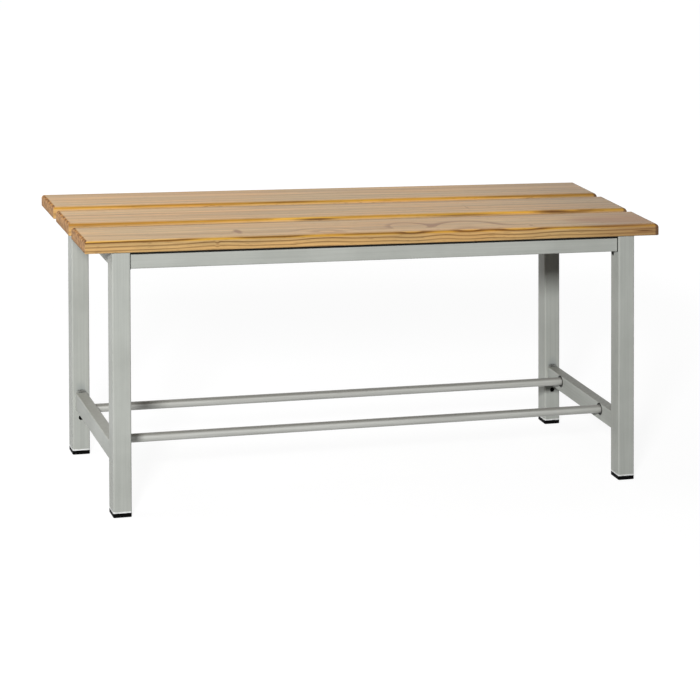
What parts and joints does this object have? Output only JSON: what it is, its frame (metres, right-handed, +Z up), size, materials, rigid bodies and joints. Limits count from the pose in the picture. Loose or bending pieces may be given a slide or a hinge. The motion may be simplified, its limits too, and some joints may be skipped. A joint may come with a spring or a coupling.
{
  "type": "locker room bench",
  "caption": "Free-standing locker room bench with a slatted timber seat on a welded square tube frame, and round shoe rods between the lower cross rails.",
  "frame": {"origin": "on the floor, under the middle of the seat", "axes": "+Z up, +X along the seat towards the right end, +Y from the front to the rear"},
  "size_m": [1, 0.33, 0.44],
  "materials": {
    "pine": "varnished softwood with visible growth rings",
    "frame_paint": "satin grey powder coat",
    "rod_paint": "smooth satin grey coat on round tube",
    "foot_plastic": "moulded black plastic",
    "screw_zinc": "zinc plated"
  },
  "bodies": {
    "root": {"seat_slat_front": "pine", "seat_slat_middle": "pine", "seat_slat_rear": "pine", "leg_front_left": "frame_paint", "leg_front_right": "frame_paint", "leg_rear_left": "frame_paint", "leg_rear_right": "frame_paint", "front_rail": "frame_paint", "rear_rail": "frame_paint", "top_cross_rail_left": "frame_paint", "top_cross_rail_right": "frame_paint", "lower_cross_rail_left": "frame_paint", "lower_cross_rail_right": "frame_paint", "weld_beads_lower_rails": "frame_paint", "weld_beads_upper_rails": "frame_paint", "weld_beads_long_rails": "frame_paint", "shoe_rod_front": "rod_paint", "shoe_rod_rear": "rod_paint", "foot_insert_front_left": "foot_plastic", "foot_insert_front_right": "foot_plastic", "foot_insert_rear_left": "foot_plastic", "foot_insert_rear_right": "foot_plastic", "slat_screws": "screw_zinc"}
  },
  "joints": []
}
